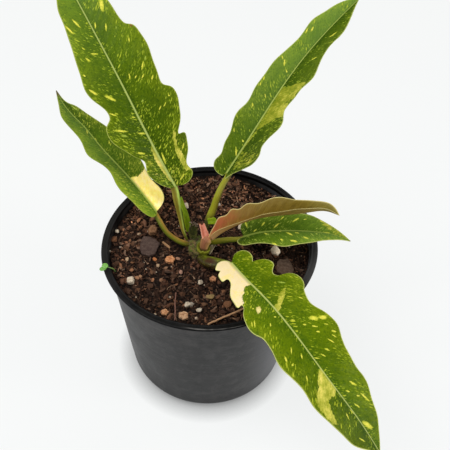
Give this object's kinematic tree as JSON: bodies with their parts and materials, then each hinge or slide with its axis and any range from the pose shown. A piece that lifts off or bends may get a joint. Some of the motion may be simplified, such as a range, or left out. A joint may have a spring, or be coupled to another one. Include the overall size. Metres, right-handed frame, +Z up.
{
  "type": "potted philodendron plant",
  "caption": "Potted philodendron with long lobed variegated leaves on stalks and a young folded bronze leaf, growing in bark mix in a round black grow pot.",
  "frame": {"origin": "centre of the pot's flat base, where the pot rests", "axes": "+Z up out of the pot, -Y towards the front as the picture shows it, +X to the right"},
  "size_m": [0.2517, 0.2786, 0.3054],
  "materials": {
    "pot": "satin",
    "soil": "matte",
    "stem": "matte",
    "leaf_a_blade": "satin",
    "leaf_b_blade": "satin",
    "leaf_c_blade": "satin",
    "leaf_e_blade": "satin",
    "leaf_f_blade": "satin",
    "young_leaf_blade": "satin",
    "stalk": "satin",
    "young_stalk": "satin",
    "sheath": "satin",
    "dry_sheath": "matte",
    "perlite": "matte",
    "dark_bark": "matte",
    "light_bark": "matte",
    "straw": "matte",
    "weed": "satin"
  },
  "bodies": {
    "root": {"pot": "pot", "soil": "soil", "stem": "stem", "leaf_a_blade": "leaf_a_blade", "leaf_b_blade": "leaf_b_blade", "leaf_c_blade": "leaf_c_blade", "leaf_e_blade": "leaf_e_blade", "leaf_f_blade": "leaf_f_blade", "young_leaf_blade": "young_leaf_blade", "leaf_a_stalk": "stalk", "leaf_b_stalk": "stalk", "leaf_c_stalk": "stalk", "leaf_e_stalk": "stalk", "leaf_f_stalk": "stalk", "young_leaf_stalk": "young_stalk", "leaf_a_sheath": "sheath", "leaf_c_sheath": "sheath", "young_leaf_sheath": "sheath", "dry_sheath": "dry_sheath", "perlite_1": "perlite", "perlite_2": "perlite", "perlite_3": "perlite", "perlite_4": "perlite", "perlite_5": "perlite", "perlite_6": "perlite", "perlite_7": "perlite", "perlite_8": "perlite", "bark_chip_large": "dark_bark", "bark_chip_right": "dark_bark", "bark_chip_brown": "light_bark", "bark_chip_orange": "light_bark", "bark_chip_tan": "light_bark", "bark_chip_small": "light_bark", "bark_chip_centre": "light_bark", "twig": "straw", "straw": "straw", "weed_seedling": "weed"}
  },
  "joints": []
}
